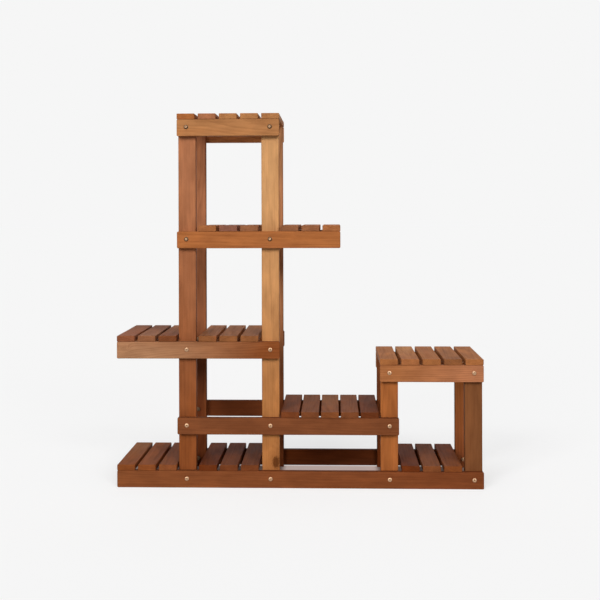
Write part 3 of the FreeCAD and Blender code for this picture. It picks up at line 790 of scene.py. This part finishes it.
metals = {
    "yellow_zinc_plate": {"base": (203, 166, 130), "tarnish": (180, 142, 112), "dark": (52, 38, 22),
                          "roughness": 0.33, "fineness": 420.0},
    "nail_steel_oiled": {"base": (128, 118, 108), "tarnish": (96, 84, 74), "dark": (52, 38, 28),
                         "roughness": 0.37, "fineness": 600.0},
}
grimeAndShade = {"speck": 0.45, "recess": 0.75, "darkRimAndShade": 0.9}    # how dark each gets: specks of grime, painted shade in the recess, darker rims and the nuts' painted shade
metalFinish = {
    "cloudRange": (0.38, 0.62), "speckFineness": 7, "speckRange": (0.58, 0.7),
    "scratchAlong": 2, "scratchAcross": 14,
    "metallic": 0.85, "scratchRoughness": 0.22, "recessRoughness": 0.25,
    "bump": 0.4, "bumpHeight": 0.00008, "scratchHeight": 0.6, "speckHeight": 0.4,
}


def metalMaterial(name, base, tarnish, dark, roughness, fineness):
    # Plated steel: cloudy colour, fine scratches, specks of grime and painted shade in the recess, and
    # the darkness that the mesh marks round the higher heads' rims and as painted shade on the nuts.
    # Scratches and the recess add to the roughness.
    material = bpy.data.materials.new(name)
    tree = emptyTree(material)
    where = addNode(tree, "ShaderNodeTexCoord").outputs["Object"]
    cloud = clouds(tree, where, (fineness,) * 3, None, 3.0, 0.6)
    speck = clouds(tree, where, (fineness * metalFinish["speckFineness"],) * 3, None, 2.0)
    along, across = fineness * metalFinish["scratchAlong"], fineness * metalFinish["scratchAcross"]
    scratch = clouds(tree, where, (along, across, across), None, 2.0)
    shown = {"speck": ramp(tree, speck, *metalFinish["speckRange"])}
    for mark in ("recess", "darkRimAndShade"):
        shown[mark] = addNode(tree, "ShaderNodeAttribute", attribute_name=mark).outputs["Fac"]
    tarnished = ramp(tree, cloud, *metalFinish["cloudRange"])
    tone = tint(tree, tarnished, paint(*base), paint(*tarnish))
    for mark, depth in grimeAndShade.items():
        tone = tint(tree, calc(tree, "MULTIPLY", shown[mark], depth), tone, paint(*dark))
    gloss = calc(tree, "MULTIPLY_ADD", scratch, metalFinish["scratchRoughness"], roughness)
    gloss = calc(tree, "MULTIPLY_ADD", shown["recess"], metalFinish["recessRoughness"], gloss)
    height = calc(tree, "MULTIPLY", speck, metalFinish["speckHeight"])
    height = calc(tree, "MULTIPLY_ADD", scratch, metalFinish["scratchHeight"], height)
    bump = addNode(tree, "ShaderNodeBump", {
        "Strength": metalFinish["bump"], "Distance": metalFinish["bumpHeight"], "Height": height})
    shader = addNode(tree, "ShaderNodeBsdfPrincipled", {
        "Base Color": tone, "Roughness": gloss, "Normal": bump.outputs[0],
        "Metallic": metalFinish["metallic"]})
    addNode(tree, "ShaderNodeOutputMaterial", {"Surface": shader.outputs[0]})
    return material


zinc, steel = (metalMaterial(name, **look) for name, look in metals.items())

rng = np.random.default_rng(7)
darkRimAndShade = bolts["darkRimAndShade"]
rimDarkening = np.where(spots[:, 1] > bolts["rimDarkening"], 1.0, rng.uniform(*darkRimAndShade["fresh"], len(spots)))
# the nuts and bolt ends short of the right-hand column get painted shade, as if the stand shades them;
# the rest stay bright
nutShade = rng.uniform(*darkRimAndShade["inShade"], len(spots))
nutShade = np.where(spots[:, 0] > bolts["nutShade"], darkRimAndShade["bright"], nutShade)
for name, shape, node in (("bolts", boltShape, "frame_bolts"), ("nuts", nutShape, "frame_nuts")):
    unit, faces, recess, border = shape()
    spins = rng.uniform(0, 2 * np.pi, len(spots))
    points, faces = repeatAt(unit, faces, spins)
    inner = unit[:, 1] > -postFace - 0.1 * mm              # the nuts, and the bolts' ends in them
    # how dark each is: the rims of the heads, and the painted shade of the nuts
    darkShare = np.where(inner[None, :], nutShade[:, None], rimDarkening[:, None])
    marks = {"recess": (recess[None, :] * (1 - darkRimAndShade["fill"] * darkShare)).reshape(-1),
             "darkRimAndShade": (border[None, :] * darkShare).reshape(-1)}
    piece = putMesh(name, points, faces, marks, zinc)
    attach(piece, "root")
    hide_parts(node)
print("bolts and nuts made:", len(spots))

unit, faces = nailShape()
nailPlaces = []
for name in (n for n in boards if "_slat_" in n):
    low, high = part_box(name)
    for x in (low[0] + nails["fromEdge"], high[0] - nails["fromEdge"]):
        for y in (-nails["fromMiddle"], nails["fromMiddle"]):
            nailPlaces.append((x, y, high[2] - nails["sunk"]))
nailPlaces = np.array(nailPlaces)
points = (unit[None] + nailPlaces[:, None]).reshape(-1, 3)
faces = [[i + len(unit) * n for i in f] for n in range(len(nailPlaces)) for f in faces]
none = np.zeros(len(points))
piece = putMesh("nails", points, faces, {"recess": none, "darkRimAndShade": none}, steel)
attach(piece, "root")
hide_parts("slat_nails")
print("nails made:", len(nailPlaces))

studio = {
    "paper": (246, 246, 246), "sky": 0.03,
    "reach": 60.0,             # half the floor's width, in metres
    "floor": 0.38,             # share of the light that the floor is seen to send back,
    "bounce": 0.55,            # and the share that reaches the stand
    "fadeFrom": 0.30, "fadeTo": 0.75, "fadeLeft": 0.3,    # shadows on the floor fade with distance
    "toothScale": 900, "toothDepth": 0.02,    # the paper's fine grain
    "underGlow": 0.05,         # the floor's glow under the stand, kept low as painted shadow
    "bayGlow": 0.40,           # and under its open middle bay
    # tints under the stand: painted light bounced brown from the wood
    "paintedBounceTint": (246, 225, 219), "paintedBounceBrown": (150, 124, 112),
    "halfDepth": 0.108, "halfWidth": 0.47,    # the shaded floor under the stand,
    "edge": (-0.012, 0.004),   # from full shade to none across its edge,
    "bay": (0.079, 0.13), "bayEdge": 0.01,    # and the open bay's middle and half width
    "lamps": {
        "left_box": {"azimuth": -28, "height": 25, "strength": 1.61, "spread": 26},
        "right_box": {"azimuth": 28, "height": 25, "strength": 1.34, "spread": 26},
        "top_box": {"azimuth": -10, "height": 80, "strength": 0.82, "spread": 50},
        "back_box": {"azimuth": 180, "height": 26, "strength": 0.40, "spread": 50},
    },
    "lampDistance": 3,
}


def seenDirectly(tree):
    # 1 for rays from the camera and for those that metal or glass sends on
    rays = addNode(tree, "ShaderNodeLightPath").outputs
    total = calc(tree, "ADD", rays["Is Camera Ray"], rays["Is Glossy Ray"])
    return calc(tree, "ADD", total, rays["Is Transmission Ray"], clamp=True)


world = bpy.data.worlds.new("studio")
bpy.context.scene.world = world
tree = emptyTree(world)
sky = addNode(tree, "ShaderNodeBackground", {"Color": (1, 1, 1, 1), "Strength": studio["sky"]})
paper = addNode(tree, "ShaderNodeBackground", {"Color": paint(*studio["paper"]), "Strength": 1.0})
sockets = {0: seenDirectly(tree), 1: sky.outputs[0], 2: paper.outputs[0]}
both = addNode(tree, "ShaderNodeMixShader", sockets)
addNode(tree, "ShaderNodeOutputWorld", {"Surface": both.outputs[0]})

floorFinish = bpy.data.materials.new("studio_paper")
tree = emptyTree(floorFinish)
where = addNode(tree, "ShaderNodeTexCoord").outputs["Object"]
floorX, floorY = addNode(tree, "ShaderNodeSeparateXYZ", {0: where}).outputs[:2]
offX, offY = calc(tree, "ABSOLUTE", floorX), calc(tree, "ABSOLUTE", floorY)

# The open floor sends back its grey share of the light, and its glow makes up the paper's white.
# Further off the grey share shrinks and the glow grows, so shadows fade and the white stays.
received = studio["sky"] + sum(lamp["strength"] * math.sin(math.radians(lamp["height"])) / math.pi
                               for lamp in studio["lamps"].values())
near = ramp(tree, offY, studio["fadeFrom"], studio["fadeTo"], 1.0, studio["fadeLeft"])
grey = calc(tree, "MULTIPLY", near, studio["floor"])
openGlow = calc(tree, "SUBTRACT", paint(*studio["paper"])[0], calc(tree, "MULTIPLY", grey, received))
tooth = clouds(tree, where, (studio["toothScale"],) * 3, None, 2.0)
tooth = calc(tree, "MULTIPLY_ADD", tooth, studio["toothDepth"], 1 - studio["toothDepth"] / 2)
shade = calc(tree, "MULTIPLY", grey, tooth)

# under the stand the floor has painted shadow, lighter in the open bay, and painted brown bounce light
past = calc(tree, "MAXIMUM", calc(tree, "SUBTRACT", offY, studio["halfDepth"]),
            calc(tree, "SUBTRACT", offX, studio["halfWidth"]))
outside = ramp(tree, past, *studio["edge"])
middle, halfBay = studio["bay"]
pastBay = calc(tree, "SUBTRACT", calc(tree, "ABSOLUTE", calc(tree, "SUBTRACT", floorX, middle)), halfBay)
under = ramp(tree, pastBay, -studio["bayEdge"], studio["bayEdge"], studio["bayGlow"], studio["underGlow"])
seen = seenDirectly(tree)
sent = between(tree, seen, studio["bounce"], shade)
matt = addNode(tree, "ShaderNodeBsdfDiffuse", {
    "Color": tint(tree, outside, paint(*studio["paintedBounceBrown"]), sent)})
glow = addNode(tree, "ShaderNodeEmission", {
    "Color": tint(tree, outside, paint(*studio["paintedBounceTint"]), (1, 1, 1, 1)),
    "Strength": calc(tree, "MULTIPLY", seen, between(tree, outside, under, openGlow))})
total = addNode(tree, "ShaderNodeAddShader", {0: matt.outputs[0], 1: glow.outputs[0]})
addNode(tree, "ShaderNodeOutputMaterial", {"Surface": total.outputs[0]})
half = studio["reach"]
corners = [(-half, -half, 0), (half, -half, 0), (half, half, 0), (-half, half, 0)]
floor = putMesh("floor", corners, [[0, 1, 2, 3]], {}, floorFinish)

for name, lamp in studio["lamps"].items():
    sun = bpy.data.lights.new(name, "SUN")
    sun.energy = lamp["strength"]
    sun.angle = math.radians(lamp["spread"])
    holder = bpy.data.objects.new(name, sun)
    bpy.context.scene.collection.objects.link(holder)
    turn, rise = math.radians(lamp["azimuth"]), math.radians(lamp["height"])
    level = math.cos(rise)
    source = Vector((math.sin(turn) * level, -math.cos(turn) * level, math.sin(rise)))
    holder.location = source * studio["lampDistance"]
    holder.visible_glossy = name != "back_box"             # it fills the back, and leaves no sheen
    holder.rotation_euler = source.to_track_quat("Z", "Y").to_euler()

view = {
    "place": (0.0895, -2.6313, 0.7071), "turn": 1.838, "roll": 0.0029, "lens": 58.17,
    "shift": (-0.0038, -0.1415), "sensor": 36, "clip": (0.05, 200),
}
lens = bpy.data.cameras.new("camera")
lens.sensor_width = view["sensor"]
lens.lens = view["lens"]
lens.shift_x, lens.shift_y = view["shift"]
lens.clip_start, lens.clip_end = view["clip"]
camera = bpy.data.objects.new("camera", lens)
bpy.context.scene.collection.objects.link(camera)
camera.location = view["place"]
camera.rotation_euler = (math.radians(90), view["roll"], math.radians(view["turn"]))
bpy.context.scene.camera = camera
bpy.context.scene.view_settings.view_transform = "Standard"
print("floor, light and camera set")
